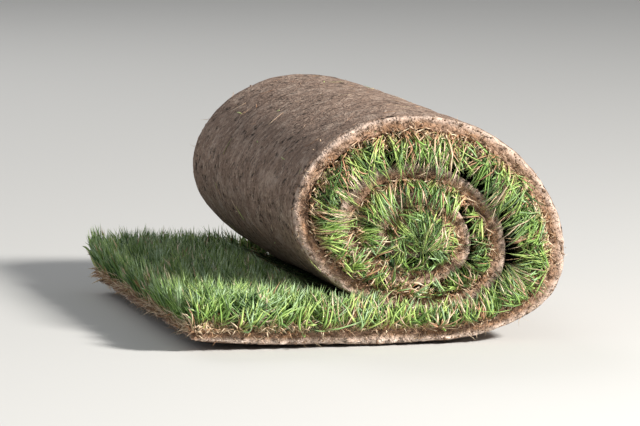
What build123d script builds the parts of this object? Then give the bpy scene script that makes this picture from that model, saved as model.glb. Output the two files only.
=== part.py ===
"""Roll of turf: one cut strip of sod, wound grass side in, lying on its own loose end.

The section lies in XZ and the strip's width runs along Y. The soil face is the outside of
every turn. The strip leaves the ground at the section's own zero, climbs to the right, goes
over the top to the left and winds in to the core.
"""

import math
import os

from build123d import *

# The strip as it is cut, in mm
STRIP_WIDTH = 457.2
SOIL_THICKNESS = 18.0

# The loose end: a flat run on the ground, then a slow curl that lifts its tip
FLAT_RUN = 132.0
CURL_RADIUS = 800.0
CURL_LENGTH = 113.0

# The grass, which stands free on the loose end and spills past the soil at both ends
FREE_GRASS_HEIGHT = 33.0
TIP_SPILL = 14.0
END_SPILL = 5.0

# The winding, from the core outwards: tight turns, then one loose turn
CORE_RADIUS = 26.0
TIGHT_TURNS = 2.07
TIGHT_PITCH = 29.5
LOOSE_TURNS = 1.1
LOOSE_PITCH = 52.0

# How the roll has settled under its own weight: shares of the growth in radius, and mm
OVAL_SHARE = 0.60
OVAL_LEAN = -17.0
SQUAT_SHARE = 0.24
SQUAT_LEAN = -14.0
LOOSE_SAG = 5.0

# The winding is a chain of tangent arcs, each turning the strip by this many degrees
BEND_ANGLE = 30.0
TURNS = TIGHT_TURNS + LOOSE_TURNS
BENDS = round(360 * TURNS / BEND_ANGLE)
BENDS_PER_TURN = round(360 / BEND_ANGLE)


def mean_radius(turns_inside):
    """Radius of the winding where that many turns lie inside it."""
    loose_part = max(0, turns_inside - TIGHT_TURNS)
    return CORE_RADIUS + TIGHT_PITCH * (turns_inside - loose_part) + LOOSE_PITCH * loose_part


def bend_radius(bend):
    """Radius of the soil face in one bend, counted from the ground inwards."""
    heading = (bend + 0.5) * BEND_ANGLE
    growth = mean_radius(TURNS - heading / 360) - CORE_RADIUS
    oval = OVAL_SHARE * math.cos(math.radians(2 * (heading - OVAL_LEAN)))
    squat = SQUAT_SHARE * math.cos(math.radians(3 * (heading - SQUAT_LEAN)))
    is_loose = heading < 360 * LOOSE_TURNS
    sag = LOOSE_SAG * math.sin(math.radians(heading)) if is_loose else 0
    return CORE_RADIUS + growth * (1 + oval + squat) - sag


def wind(depth, bends):
    """Draw the bends at one depth in from the soil face and return where they end."""
    point, heading = Vector(0, depth), Vector(1, 0)
    for bend in range(bends):
        arc = JernArc(point, heading, bend_radius(bend) - depth, BEND_ANGLE)
        point, heading = arc @ 1, arc % 1
    return point


def unroll(depth, spill=0.0):
    """Draw the loose end at one depth, from the first bend out, and return its tip."""
    flat = Line((0, depth), (-FLAT_RUN, depth))
    angle = math.degrees((CURL_LENGTH + spill) / CURL_RADIUS)
    curl = JernArc(flat @ 1, flat % 1, CURL_RADIUS - depth, -angle)
    return curl @ 1


# Reach of the section to the right and left, which sets the middle of the roll
with BuildLine() as outer_turn:
    wind(0, BENDS_PER_TURN)
with BuildLine() as grass_top:
    unroll(SOIL_THICKNESS + FREE_GRASS_HEIGHT, TIP_SPILL)
RIGHT_REACH = outer_turn.line.bounding_box().max.X
LEFT_REACH = grass_top.line.bounding_box().min.X
MIDDLE_X = (RIGHT_REACH + LEFT_REACH) / 2
SECTION = Plane(origin=(-MIDDLE_X, 0, 0), x_dir=(1, 0, 0), z_dir=(0, -1, 0))

# Root-bound soil: the strip itself, flat at the loose end and wound in to the core
with BuildPart() as soil_mat:
    with BuildSketch(SECTION) as soil_section:
        with BuildLine():
            soil_tip = unroll(0)
            soil_core = wind(0, BENDS)
            thatch_tip = unroll(SOIL_THICKNESS)
            thatch_core = wind(SOIL_THICKNESS, BENDS)
            Line(soil_tip, thatch_tip)
            Line(soil_core, thatch_core)
        make_face()
    extrude(amount=STRIP_WIDTH / 2, both=True)

# Grass: fills the roll between the turns and the core, and stands free on the loose end
with BuildPart() as grass:
    with BuildSketch(SECTION) as grass_section:
        with BuildLine():
            turn_end = wind(0, BENDS_PER_TURN)
            Line(turn_end, (0, 0))
        make_face()
        with BuildLine():
            blade_foot = unroll(SOIL_THICKNESS)
            blade_top = unroll(SOIL_THICKNESS + FREE_GRASS_HEIGHT, TIP_SPILL)
            Line(blade_foot, blade_top)
            Line((0, SOIL_THICKNESS), (0, SOIL_THICKNESS + FREE_GRASS_HEIGHT))
        make_face()
        add(soil_section.sketch_local, mode=Mode.SUBTRACT)
    extrude(amount=STRIP_WIDTH / 2 + END_SPILL, both=True)

soil_mat.part.label = "soil_mat"
grass.part.label = "grass"

strip_length = soil_section.sketch_local.area / SOIL_THICKNESS
print("strip length", round(strip_length), "mm at the middle of the soil")
print("tightest bend", round(min(bend_radius(bend) for bend in range(BENDS)), 1), "mm")

os.makedirs("parts", exist_ok=True)
export_step(soil_mat.part, "parts/soil_mat.step")
export_step(grass.part, "parts/grass.step")
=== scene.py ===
"""Roll of turf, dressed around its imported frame.

The strip of turf is modelled flat, as it lies when it is cut, and then wound along the same
path as the frame's solids: soil outside every turn and grass inside. A place on the strip is
given by three numbers: how far along it is from the tip of the loose end, how far across from
the middle, and how deep it lies in from the soil face. Every piece is made in those numbers,
so that blades, crumbs and roots follow the turns. Lengths are in metres, and angles in radians
except in the Winding and the Studio, which have degrees.
"""

import logging
import math
from collections.abc import Iterable
from dataclasses import dataclass, field, fields
from enum import Enum

import bmesh
import bpy
import numpy as np
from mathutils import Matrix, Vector, noise


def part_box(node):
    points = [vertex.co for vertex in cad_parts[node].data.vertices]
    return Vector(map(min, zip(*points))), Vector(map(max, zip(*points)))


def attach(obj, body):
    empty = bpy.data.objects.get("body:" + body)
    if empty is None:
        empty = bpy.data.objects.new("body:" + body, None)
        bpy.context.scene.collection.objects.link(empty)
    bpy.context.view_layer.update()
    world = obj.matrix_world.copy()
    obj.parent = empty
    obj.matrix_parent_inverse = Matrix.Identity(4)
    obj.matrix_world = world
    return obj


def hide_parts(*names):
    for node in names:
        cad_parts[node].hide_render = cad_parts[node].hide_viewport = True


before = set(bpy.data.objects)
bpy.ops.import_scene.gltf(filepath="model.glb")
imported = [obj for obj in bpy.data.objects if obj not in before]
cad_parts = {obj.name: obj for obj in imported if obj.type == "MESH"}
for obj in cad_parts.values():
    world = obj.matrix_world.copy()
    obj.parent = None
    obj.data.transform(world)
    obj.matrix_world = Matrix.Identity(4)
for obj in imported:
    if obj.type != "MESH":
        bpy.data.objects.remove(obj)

LOG = logging.getLogger("turf")
OUTWARD = math.pi / 2
Numbers = np.ndarray
Dice = np.random.Generator
Shape = bmesh.types.BMesh
Mesh = bpy.types.Mesh
Piece = bpy.types.Object
Material = bpy.types.Material
Socket = bpy.types.NodeSocket
Colour = tuple[float, float, float]
Place = tuple[float, float, float]
Span = tuple[float, float]
Value = Socket | float
Tone = Socket | Colour
# The range of the tufts, or their middle and spread, and how far a blade strays from its tuft
Drawn = tuple[float, float, float]


def smooth(value: Numbers) -> Numbers:
    """Ease a ramp from 0 to 1 at both of its ends, and clip it there."""
    clipped = np.clip(value, 0.0, 1.0)
    return clipped * clipped * (3.0 - 2.0 * clipped)


def reined(value: Numbers, limit: Numbers | float, firmness: float = 5.0) -> Numbers:
    """Bend growing numbers over so that they never pass a limit, the later the firmer."""
    return value / (1.0 + (value / limit) ** firmness) ** (1.0 / firmness)


def crossed(first: Numbers, second: Numbers) -> Numbers:
    """The area that one flat vector sweeps as it turns to another."""
    return first[..., 0] * second[..., 1] - first[..., 1] * second[..., 0]


def arc(heading: Numbers, curve: Numbers, length: Numbers) -> tuple[Numbers, ...]:
    """Follow arcs, or straight level runs where the curvature is 0.

    Args:
        heading: Headings at their start.
        curve: Their curvatures.
        length: How far they are followed.

    Returns:
        The steps across and up, and the headings at their end.
    """
    turned = heading + curve * length
    is_level = curve == 0.0
    bent = np.where(is_level, 1.0, curve)
    across = np.where(is_level, length, (np.sin(turned) - np.sin(heading)) / bent)
    up = np.where(is_level, 0.0, (np.cos(heading) - np.cos(turned)) / bent)
    return across, up, turned


def either_side(dice: Dice, count: int) -> Numbers:
    """Draw as many sides of the middle, -1 or 1, by even chance."""
    return np.where(dice.random(count) < 0.5, -1.0, 1.0)


@dataclass(frozen=True)
class Ripple:
    """Smooth noise of two layers, with the size of one ripple and a seed that moves it."""

    size: float
    seed: int

    STEP = Vector((3.1, 7.7, 1.3))
    FALL, FINER, LAYERS = 1.0, 2.0, 2

    def at(self, points: Numbers) -> Numbers:
        """The noise at rows of points, one number for each, mostly between -1 and 1."""
        places = (Vector(point) / self.size + self.STEP * self.seed for point in points)
        return np.array([noise.fractal(at, self.FALL, self.FINER, self.LAYERS) for at in places])


@dataclass(frozen=True)
class Winding:
    """The path of the soil face in the roll's section, with the frame's own sizes."""

    strip_width: float = 0.4572
    soil_thickness: float = 0.018
    flat_run: float = 0.132
    curl_radius: float = 0.8
    curl_length: float = 0.113
    core_radius: float = 0.026
    tight_turns: float = 2.07
    tight_pitch: float = 0.0295
    loose_turns: float = 1.1
    loose_pitch: float = 0.052
    oval_share: float = 0.60
    oval_lean: float = -17.0
    squat_share: float = 0.24
    squat_lean: float = -14.0
    loose_sag: float = 0.005
    bend_angle: float = 30.0

    @property
    def half_width(self) -> float:
        """Half the strip's width."""
        return self.strip_width / 2

    @property
    def first_bend(self) -> float:
        """How far along the strip the first bend starts."""
        return self.curl_length + self.flat_run

    def bend_radius(self, bend: int) -> float:
        """Radius of the soil face in one bend.

        Args:
            bend: The bend's number, counted from the ground inwards.

        Returns:
            The radius.
        """
        turns = self.tight_turns + self.loose_turns
        heading = (bend + 0.5) * self.bend_angle
        inside = turns - heading / 360
        loose_part = max(0.0, inside - self.tight_turns)
        growth = self.tight_pitch * (inside - loose_part) + self.loose_pitch * loose_part
        oval = self.oval_share * math.cos(math.radians(2 * (heading - self.oval_lean)))
        squat = self.squat_share * math.cos(math.radians(3 * (heading - self.squat_lean)))
        sag = self.loose_sag if heading < 360 * self.loose_turns else 0.0
        settled = self.core_radius + growth * (1 + oval + squat)
        return settled - sag * math.sin(math.radians(heading))

    def runs(self) -> Numbers:
        """Every run of the path, from the tip of the loose end inwards.

        Returns:
            Rows of start along the strip, start x, start z, heading and curvature, and a last
            row for the inner end.
        """
        bends = round(360 * (self.tight_turns + self.loose_turns) / self.bend_angle)
        turn = math.radians(self.bend_angle)
        curl_turn = self.curl_length / self.curl_radius
        runs = [(self.curl_length, 1 / self.curl_radius), (self.flat_run, 0.0)]
        runs += [(radius * turn, 1 / radius) for radius in map(self.bend_radius, range(bends))]
        along, heading = 0.0, -curl_turn
        x = -self.flat_run - self.curl_radius * math.sin(curl_turn)
        z = self.curl_radius * (1 - math.cos(curl_turn))
        rows = []
        for length, curve in runs:
            rows.append((along, x, z, heading, curve))
            across, up, heading = arc(heading, curve, length)
            along, x, z = along + length, x + across, z + up
        rows.append((along, x, z, heading, runs[-1][1]))
        return np.array(rows)


@dataclass
class Path:
    """Places on the wound strip, in the frame's own coordinates."""

    PARALLEL = 1e-12
    NO_HIT = 1.0

    winding: Winding
    free_height: float = 0.040
    open_air: float = 0.1
    reach_samples: int = 4000
    gap_samples: int = 720
    gap_window: int = 9
    apart_by: float = 3.0
    drift: Ripple = Ripple(0.16, 2)
    drift_gain: float = 0.8
    drift_share: float = 0.02
    rows: Numbers = field(init=False)
    shift: float = field(init=False)
    gap_along: Numbers = field(init=False)
    gap_size: Numbers = field(init=False)
    drifts: list[Numbers] = field(init=False)

    def __post_init__(self) -> None:
        """Fit the section to the frame, measure its gaps and let both ends drift a little."""
        self.rows = self.winding.runs()
        self.shift = 0.0
        reach = self.soil_face(np.linspace(0.0, self.length, self.reach_samples))[0].max()
        self.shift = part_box("soil_mat")[1].x - reach
        self.gap_along, self.gap_size = self.measure_gaps()
        still = np.zeros(self.gap_samples)
        ends = [np.column_stack((self.gap_along, still + end.value, still)) for end in RollEnd]
        self.drifts = [smooth(0.5 + self.drift_gain * self.drift.at(end)) for end in ends]

    @property
    def length(self) -> float:
        """Length of the soil face from the tip of the loose end to the inner end."""
        return float(self.rows[-1, 0])

    def soil_face(self, along: Numbers) -> tuple[Numbers, ...]:
        """The soil face at many places along the strip.

        Args:
            along: Distances from the tip of the loose end.

        Returns:
            x, z, heading and curvature at each place.
        """
        run = np.searchsorted(self.rows[:, 0], along, side="right") - 1
        run = np.clip(run, 0, len(self.rows) - 2)
        start, x, z, heading, curve = np.moveaxis(self.rows[run], -1, 0)
        across, up, turned = arc(heading, curve, along - start)
        return x + across + self.shift, z + up, turned, curve

    def place(self, along: Numbers, across: Numbers, depth: Numbers) -> Numbers:
        """Points of the wound strip.

        Args:
            along: Distances from the tip of the loose end.
            across: Distances from the middle of the strip's width.
            depth: Distances in from the soil face.

        Returns:
            Rows of x, y and z.
        """
        x, z, heading, _ = self.soil_face(along)
        front, back = (np.interp(along, self.gap_along, drift) for drift in self.drifts)
        across = across * (1 - self.drift_share * np.where(across < 0.0, front, back))
        return np.column_stack((x - np.sin(heading) * depth, across, z + np.cos(heading) * depth))

    def wind(self, mesh: Mesh, along: Numbers, across: Numbers, depth: Numbers) -> None:
        """Move a slab's points to their wound places, and keep their flat ones on it."""
        set_points(mesh, self.place(along, across, depth))
        store(mesh, "strip", np.column_stack((along, across, depth)))

    def measure_gaps(self) -> tuple[Numbers, Numbers]:
        """Room for grass between the soil's inner face and whatever lies over it.

        Returns:
            Places along the strip and the room at each, up to a hand's breadth of open air.
        """
        along = np.linspace(0.0, self.length, self.gap_samples)
        x, z, heading, _ = self.soil_face(along)
        thick = self.winding.soil_thickness
        inward = np.column_stack((-np.sin(heading), np.cos(heading)))
        soil = np.column_stack((x, z))
        foot = soil + inward * thick
        later = along[None, :-1] > along[:, None] + self.apart_by * thick
        to_soil = self.first_hit(foot, inward, soil, later)
        to_far_side = self.first_hit(foot, inward, foot, later) / 2
        room = np.minimum(np.minimum(to_soil, to_far_side), self.open_air)
        window = np.ones(self.gap_window) / self.gap_window
        padded = np.pad(room, self.gap_window // 2, mode="edge")
        return along, np.convolve(padded, window, mode="valid")

    @classmethod
    def first_hit(cls, start: Numbers, aim: Numbers, line: Numbers, allowed: Numbers) -> Numbers:
        """Distance along each ray to the first stretch of a line that it may meet.

        Args:
            start: Rows of ray starts.
            aim: Rows of ray directions.
            line: Rows of points along the line.
            allowed: Which stretches each ray may meet.

        Returns:
            One distance for each ray, or a large number where it meets none.
        """
        edge, aim = (line[1:] - line[:-1])[None], aim[:, None]
        to_line = line[None, :-1] - start[:, None]
        cross = crossed(aim, edge)
        safe = np.where(np.abs(cross) < cls.PARALLEL, cls.PARALLEL, cross)
        reach, share = crossed(to_line, edge) / safe, crossed(to_line, aim) / safe
        good = allowed & (reach > 0.0) & (share >= 0.0) & (share <= 1.0)
        return np.where(good, reach, cls.NO_HIT).min(axis=1)

    def room(self, along: Numbers) -> Numbers:
        """Room over the soil's inner face at places along the strip."""
        return np.interp(along, self.gap_along, self.gap_size)

    def gap(self, along: Numbers) -> Numbers:
        """Height of the grass along the strip: the room, or the free height where that is less."""
        return np.minimum(self.room(along), self.free_height)


@dataclass(frozen=True)
class Layer:
    """A mask: what becomes 0 and 1, its share, and as noise its ripples a metre and finer layers."""

    low: float
    high: float
    share: float = 1.0
    scale: float = 0.0
    detail: float = 0.0


class Sheet:
    """Adds and wires shader nodes on one tree, which is a material's or a group's."""

    ROUGH = 0.6

    def __init__(self, tree: bpy.types.NodeTree) -> None:
        """Start on a tree."""
        self.tree = tree

    def node(self, kind: str, inputs: dict | None = None, **settings) -> bpy.types.Node:
        """Add a node.

        Args:
            kind: Its Blender type name.
            inputs: Values, colours or sockets for its inputs, by name or number.
            **settings: Its own properties.

        Returns:
            The new node.
        """
        made = self.tree.nodes.new(kind)
        for name, value in settings.items():
            setattr(made, name, value)
        for key, value in (inputs or {}).items():
            if isinstance(value, Socket):
                self.tree.links.new(value, made.inputs[key])
            elif made.inputs[key].type == "RGBA":
                made.inputs[key].default_value = (*value, 1.0)
            else:
                made.inputs[key].default_value = value
        return made

    def attribute(self, name: str, output: str) -> Socket:
        """Read a piece's own attribute as a Vector or a Fac."""
        return self.node("ShaderNodeAttribute", attribute_name=name).outputs[output]

    def squeeze(self, place: Socket, scale: Place) -> Socket:
        """Scale places, so that a pattern on them is drawn out where the scale is small."""
        return self.node("ShaderNodeMapping", {"Vector": place, "Scale": scale}).outputs[0]

    def part(self, place: Socket, axis: int) -> Socket:
        """One of the three numbers of a place."""
        return self.node("ShaderNodeSeparateXYZ", {0: place}).outputs[axis]

    def noise(self, place: Socket, scale: float, detail: float) -> Socket:
        """Noise between 0 and 1, with its ripples in a metre and its layers of finer ones."""
        values = {"Vector": place, "Scale": scale, "Detail": detail, "Roughness": self.ROUGH}
        return self.node("ShaderNodeTexNoise", values).outputs[0]

    def stretch(self, value: Socket, low: float, high: float) -> Socket:
        """Spread a number's range from low to high over 0 to 1, and clip it at both ends."""
        values = {"Value": value, "From Min": low, "From Max": high}
        return self.node("ShaderNodeMapRange", values).outputs["Result"]

    def mask(self, value: Socket, kind: Layer) -> Socket:
        """A number stretched to a layer's mask."""
        return self.stretch(value, kind.low, kind.high)

    def layer(self, place: Socket, kind: Layer) -> Socket:
        """A layer's mask, from its own noise."""
        return self.mask(self.noise(place, kind.scale, kind.detail), kind)

    def math(self, operation: str, first: Value, second: Value = 0.0, clamp: bool = False) -> Socket:
        """One sum, by Blender's name for it, kept between 0 and 1 if it is clamped."""
        inputs = {0: first, 1: second}
        return self.node("ShaderNodeMath", inputs, operation=operation, use_clamp=clamp).outputs[0]

    def times(self, first: Value, second: Value, clamp: bool = False) -> Socket:
        """Two values multiplied."""
        return self.math("MULTIPLY", first, second, clamp)

    def away(self, value: Socket, middle: float) -> Socket:
        """How far a value is from a middle, either way."""
        return self.math("ABSOLUTE", self.math("SUBTRACT", value, middle))

    def ramp(self, factor: Socket, stops: list[tuple[float, Colour]]) -> Socket:
        """A colour that follows a number.

        Args:
            factor: The number.
            stops: Places between 0 and 1 with their colours.

        Returns:
            The colour.
        """
        made = self.node("ShaderNodeValToRGB", {"Fac": factor})
        elements = made.color_ramp.elements
        while len(elements) < len(stops):
            elements.new(0.5)
        for element, (at, colour) in zip(elements, stops):
            element.position, element.color = at, (*colour, 1.0)
        return made.outputs["Color"]

    def mix(self, factor: Value, first: Tone, second: Tone) -> Socket:
        """Mix two colours: the first where the factor is 0, and the second where it is 1."""
        inputs = {0: factor, 6: first, 7: second}
        return self.node("ShaderNodeMix", inputs, data_type="RGBA").outputs[2]

    def stain(self, ground: Socket, mask: Socket, share: float, colour: Tone) -> Socket:
        """Lay a colour over the ground where a mask is 1, as strong as its share."""
        return self.mix(self.times(mask, share), ground, colour)


@dataclass(frozen=True)
class EarthGroup:
    """Shader group for crumbly earth: a ground of small lumps with grains, pits and flecks, and painted
    shade in the pits and in the seams between the lumps.
    """

    TONES = ("Light", "Dark", "Fleck")
    INPUTS = {"Place": "Vector", **dict.fromkeys(TONES, "Color"), "Pitted": "Float"}
    OUTPUTS = {"Colour": "Color", "Height": "Float"}

    name: str = "crumbly_earth"
    broad: Layer = Layer(0.36, 0.66, 0.25, 14.0, 3.0)
    patchy: Layer = Layer(0.34, 0.66, 0.35, 95.0, 3.0)
    mottled: Layer = Layer(0.34, 0.66, 0.4, 240.0, 3.0)
    grainy: Layer = Layer(0.35, 0.68, 0.45, 420.0, 2.0)
    pale: Layer = Layer(0.5, 0.72, 0.35, 38.0, 4.0)
    flecked: Layer = Layer(0.68, 0.78, 0.6, 430.0, 1.0)
    dotted: Layer = Layer(0.38, 0.28, 0.7, 260.0, 1.0)
    dot: Colour = (0.05, 0.03, 0.02)
    shaken: Span = (120.0, 2.0)
    shake: float = 0.018
    lumps: float = 200.0
    # Painted shade: the share by which the seams between the lumps are darkened.
    seams: Layer = Layer(0.30, 0.72, 0.4)
    pale_lumps: Layer = Layer(0.74, 0.98, 0.4)
    dark_lumps: Layer = Layer(0.36, 0.06, 0.5)
    pores: Layer = Layer(0.45, 0.33, 1.0, 170.0, 3.0)
    crowded: Layer = Layer(0.42, 0.6, 1.0, 24.0, 2.0)
    least_crowd: float = 0.3
    # Painted shade: the near-black colour of the pits.
    pit_shade: Colour = (0.018, 0.012, 0.008)
    grain_height: float = 0.35
    patch_depth: float = 0.35
    pit_depth: float = 0.8
    seam_depth: float = 0.4

    def tree(self) -> bpy.types.NodeTree:
        """The group, built the first time it is asked for.

        Returns:
            A node group that puts out a colour and a height.
        """
        if self.name in bpy.data.node_groups:
            return bpy.data.node_groups[self.name]
        group = bpy.data.node_groups.new(self.name, "ShaderNodeTree")
        for way, sockets in (("INPUT", self.INPUTS), ("OUTPUT", self.OUTPUTS)):
            for name, kind in sockets.items():
                group.interface.new_socket(name, in_out=way, socket_type=f"NodeSocket{kind}")
        sheet = Sheet(group)
        given = sheet.node("NodeGroupInput").outputs
        place, light, dark, fleck = (given[name] for name in ("Place", *self.TONES))
        patchy = sheet.layer(place, self.patchy)
        shade = sheet.times(sheet.layer(place, self.broad), self.broad.share)
        shade = sheet.math("ADD", shade, sheet.times(patchy, self.patchy.share))
        mottled = sheet.times(sheet.layer(place, self.mottled), self.mottled.share)
        ground = sheet.mix(sheet.math("ADD", shade, mottled), light, dark)
        own, seam = self.cells(sheet, place)
        grain = sheet.noise(place, self.grainy.scale, self.grainy.detail)
        stains = (
            (sheet.mask(own, self.pale_lumps), self.pale_lumps, fleck),
            (sheet.mask(own, self.dark_lumps), self.dark_lumps, dark),
            # Painted shade in the seams between the lumps.
            (seam, self.seams, dark),
            (sheet.mask(grain, self.grainy), self.grainy, dark),
            (sheet.layer(place, self.pale), self.pale, fleck),
            (sheet.layer(place, self.flecked), self.flecked, fleck),
            (sheet.layer(place, self.dotted), self.dotted, self.dot),
        )
        for mask, kind, colour in stains:
            ground = sheet.stain(ground, mask, kind.share, colour)
        crowd = sheet.math("ADD", sheet.layer(place, self.crowded), self.least_crowd)
        pit_shade = sheet.times(sheet.layer(place, self.pores), crowd)
        pit_shade = sheet.times(pit_shade, given["Pitted"], clamp=True)
        height = sheet.times(grain, self.grain_height)
        for mask, depth in ((patchy, self.patch_depth), (pit_shade, self.pit_depth), (seam, self.seam_depth)):
            height = sheet.math("SUBTRACT", height, sheet.times(mask, depth))
        # Painted shade: the pits are darkened to near black.
        sheet.node("NodeGroupOutput", {"Colour": sheet.mix(pit_shade, ground, self.pit_shade), "Height": height})
        return group

    def cells(self, sheet: Sheet, place: Socket) -> tuple[Socket, Socket]:
        """Break the ground into uneven lumps.

        Args:
            sheet: The group's sheet.
            place: Where the pattern is read.

        Returns:
            Each lump's own number, and a mask of the seams between the lumps, which get painted shade.
        """
        scale, detail = self.shaken
        inputs = {"Vector": place, "Scale": scale, "Detail": detail}
        shaken = sheet.node("ShaderNodeTexNoise", inputs).outputs["Color"]
        inputs = {0: shaken, "Scale": self.shake}
        shift = sheet.node("ShaderNodeVectorMath", inputs, operation="SCALE").outputs[0]
        inputs = {0: place, 1: shift}
        uneven = sheet.node("ShaderNodeVectorMath", inputs, operation="ADD").outputs[0]
        lumps = sheet.node("ShaderNodeTexVoronoi", {"Vector": uneven, "Scale": self.lumps}).outputs
        own = sheet.node("ShaderNodeSeparateColor", {0: lumps["Color"]}).outputs[0]
        return own, sheet.mask(lumps["Distance"], self.seams)

    def add(
        self, sheet: Sheet, place: Socket, tones: tuple[Colour, Colour, Colour], pitted: Value
    ) -> bpy.types.NodeOutputs:
        """Put the group in a material, in light, dark and fleck tones, and hand on its outputs."""
        inputs = {"Place": place, **dict(zip(self.TONES, tones)), "Pitted": pitted}
        return sheet.node("ShaderNodeGroup", inputs, node_tree=self.tree()).outputs


@dataclass(frozen=True)
class Finish:
    """What every finish has: a name, a roughness, a shine and the depth of its fine relief."""

    name: str
    roughness: float = 0.9
    shine: float = 0.25
    relief: float = 0.0

    def build(self) -> Material:
        """Make the material.

        Returns:
            A material with the finish's colour and fine relief on one plain shader.
        """
        material = bpy.data.materials.new(self.name)
        material.use_nodes = True
        material.node_tree.nodes.clear()
        sheet = Sheet(material.node_tree)
        colour, height = self.paint(sheet)
        inputs = {"Base Color": colour, "Roughness": self.roughness, "Specular IOR Level": self.shine}
        if height is not None:
            values = {"Height": height, "Strength": 1.0, "Distance": self.relief}
            inputs["Normal"] = sheet.node("ShaderNodeBump", values).outputs[0]
        shader = sheet.node("ShaderNodeBsdfPrincipled", inputs)
        sheet.node("ShaderNodeOutputMaterial", {"Surface": shader.outputs[0]})
        return material

    def paint(self, sheet: Sheet) -> tuple[Tone, Socket | None]:
        """Lay out the colour and the height of the fine relief on the material's sheet."""
        raise NotImplementedError


@dataclass(frozen=True)
class SoilFinish(Finish):
    """Root-bound soil: a smooth tan cut face, and fibrous rusty thatch on the ends."""

    name: str = "root_bound_soil"
    relief: float = 0.0020
    light: Colour = (0.50, 0.355, 0.27)
    dark: Colour = (0.165, 0.105, 0.077)
    fleck: Colour = (0.72, 0.58, 0.48)
    thatch: Colour = (0.46, 0.30, 0.21)
    thatch_dark: Colour = (0.15, 0.085, 0.05)
    rust: Colour = (0.43, 0.235, 0.125)
    rim: Colour = (0.70, 0.54, 0.445)
    # Painted highlight: the rim colour on the loose end, paler, as if more brightly lit.
    highlight_rim: Colour = (0.97, 0.79, 0.67)
    pitted_face: float = 0.8
    pitted_ends: float = 0.65
    fibrous: Layer = Layer(0.38, 0.64, 1.0, 330.0, 3.0)
    fibre_squeeze: Place = (0.35, 1.0, 1.0)
    rusty: Layer = Layer(0.45, 0.62, 1.0, 60.0, 2.0)
    rooty_from: Span = (0.25, 0.65)
    rooty_share: float = 0.9
    rim_until: Span = (0.60, 0.25)
    rim_worn: Layer = Layer(0.30, 0.55, 0.78, 120.0, 3.0)
    # Where along the strip the painted highlight on the loose end's rim fades out.
    highlight_until: Span = (0.35, 0.25)
    crease_at: float = 0.125
    crease_width: Span = (0.0011, 0.0002)
    # Painted shade: how strongly the crease is darkened, as if shadowed.
    crease_shade_share: float = 0.6
    sway_noise: Span = (11.0, 3.0)
    sway: float = 0.05

    def paint(self, sheet: Sheet) -> tuple[Socket, Socket]:
        """Lay out earth all over, thatch and a pale rim on the cut ends with a painted highlight on the
        loose end, and one crease darkened with painted shade.

        Args:
            sheet: The material's sheet.

        Returns:
            The colour and the height, which follow the strip's own places.
        """
        place = sheet.attribute("strip", "Vector")
        cut, depth = (sheet.attribute(name, "Fac") for name in ("cut", "layer"))
        pitted = sheet.math("ADD", sheet.times(cut, self.pitted_ends), self.pitted_face)
        earth = EarthGroup().add(sheet, place, (self.light, self.dark, self.fleck), pitted)
        thatch = sheet.mix(sheet.layer(place, self.rusty), self.thatch, self.rust)
        fibrous = sheet.layer(sheet.squeeze(place, self.fibre_squeeze), self.fibrous)
        thatch = sheet.mix(fibrous, thatch, self.thatch_dark)
        rooty = sheet.times(sheet.stretch(depth, *self.rooty_from), cut)
        colour = sheet.stain(earth["Colour"], rooty, self.rooty_share, thatch)
        # Painted highlight: along the loose end the rim is painted paler still, as if more brightly
        # lit.
        is_dry = sheet.stretch(sheet.part(place, 0), *self.highlight_until)
        edge = sheet.times(sheet.stretch(depth, *self.rim_until), cut)
        edge = sheet.times(edge, sheet.layer(place, self.rim_worn))
        rim = sheet.mix(is_dry, self.rim, self.highlight_rim)
        colour = sheet.stain(colour, edge, self.rim_worn.share, rim)
        crease = self.crease(sheet, place)
        # Painted shade: the crease is darkened as if shadowed; it is sunk into the relief as well.
        colour = sheet.stain(colour, crease, self.crease_shade_share, self.thatch_dark)
        return colour, sheet.math("SUBTRACT", earth["Height"], crease)

    def crease(self, sheet: Sheet, place: Socket) -> Socket:
        """A fine wavering crease that runs round the roll.

        Args:
            sheet: The material's sheet.
            place: The strip's own places.

        Returns:
            1 in the crease, fading to 0 beside it.
        """
        sway = sheet.times(sheet.noise(place, *self.sway_noise), self.sway)
        swayed = sheet.math("ADD", sheet.part(place, 1), sway)
        return sheet.stretch(sheet.away(swayed, self.crease_at), *self.crease_width)


@dataclass(frozen=True)
class SwardFinish(Finish):
    """Grass pressed flat between the turns, streaked across the strip, on a dark ground that is painted
    shade between the blades.
    """

    name: str = "pressed_sward"
    relief: float = 0.0015
    # Painted shade: the near-black ground of the pressed grass.
    deep: Colour = (0.022, 0.032, 0.010)
    stem: Colour = (0.36, 0.27, 0.13)
    leaf: Colour = (0.09, 0.17, 0.03)
    streak: Place = (1.0, 0.2, 1.0)
    leafy: Layer = Layer(0.4, 0.65, 1.0, 260.0, 3.0)
    stemmy: Layer = Layer(0.56, 0.7, 1.0, 150.0, 2.0)

    def paint(self, sheet: Sheet) -> tuple[Socket, Socket]:
        """Lay out leaves and stems over a dark ground of painted shade.

        Args:
            sheet: The material's sheet.

        Returns:
            The colour and the height.
        """
        streaks = sheet.squeeze(sheet.attribute("strip", "Vector"), self.streak)
        leafy = sheet.layer(streaks, self.leafy)
        # Painted shade: the dark ground, with leaves laid over it.
        colour = sheet.mix(leafy, self.deep, self.leaf)
        return sheet.mix(sheet.layer(streaks, self.stemmy), colour, self.stem), leafy


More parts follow.
